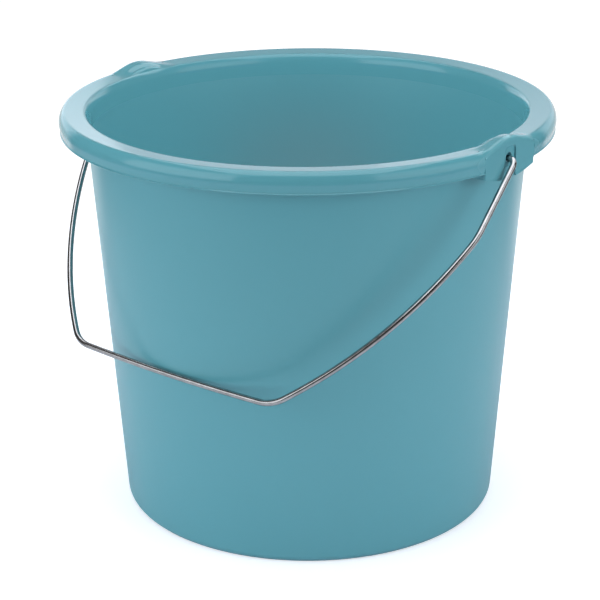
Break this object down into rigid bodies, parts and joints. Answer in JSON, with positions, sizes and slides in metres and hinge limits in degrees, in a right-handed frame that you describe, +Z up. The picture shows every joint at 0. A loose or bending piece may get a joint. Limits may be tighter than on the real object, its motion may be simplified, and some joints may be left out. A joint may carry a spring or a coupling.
{
  "type": "bucket",
  "caption": "Round tapered plastic bucket with a turned-over rim, hollow moulded ears and a swinging bent-wire carrying handle; stands on a foot ring and holds liquids.",
  "frame": {"origin": "centre of the bucket on the floor it stands on", "axes": "+Z up along the bucket's axis, +X along the handle's pivot line towards one ear, and the handle hangs towards -Y"},
  "size_m": [0.2904, 0.2838, 0.2421],
  "materials": {
    "bucket_plastic": "satin-gloss dusty turquoise polypropylene, coloured through",
    "handle_wire": "bright drawn steel wire"
  },
  "bodies": {
    "bucket": {"bucket_body": "bucket_plastic"},
    "handle": {"wire_handle": "handle_wire"}
  },
  "joints": [
    {"name": "handle_swing", "type": "hinge", "parent": "bucket", "child": "handle", "pos_m": [0, 0, 0.23], "axis": [-1, 0, 0], "range_deg": [0, 270.8]}
  ]
}
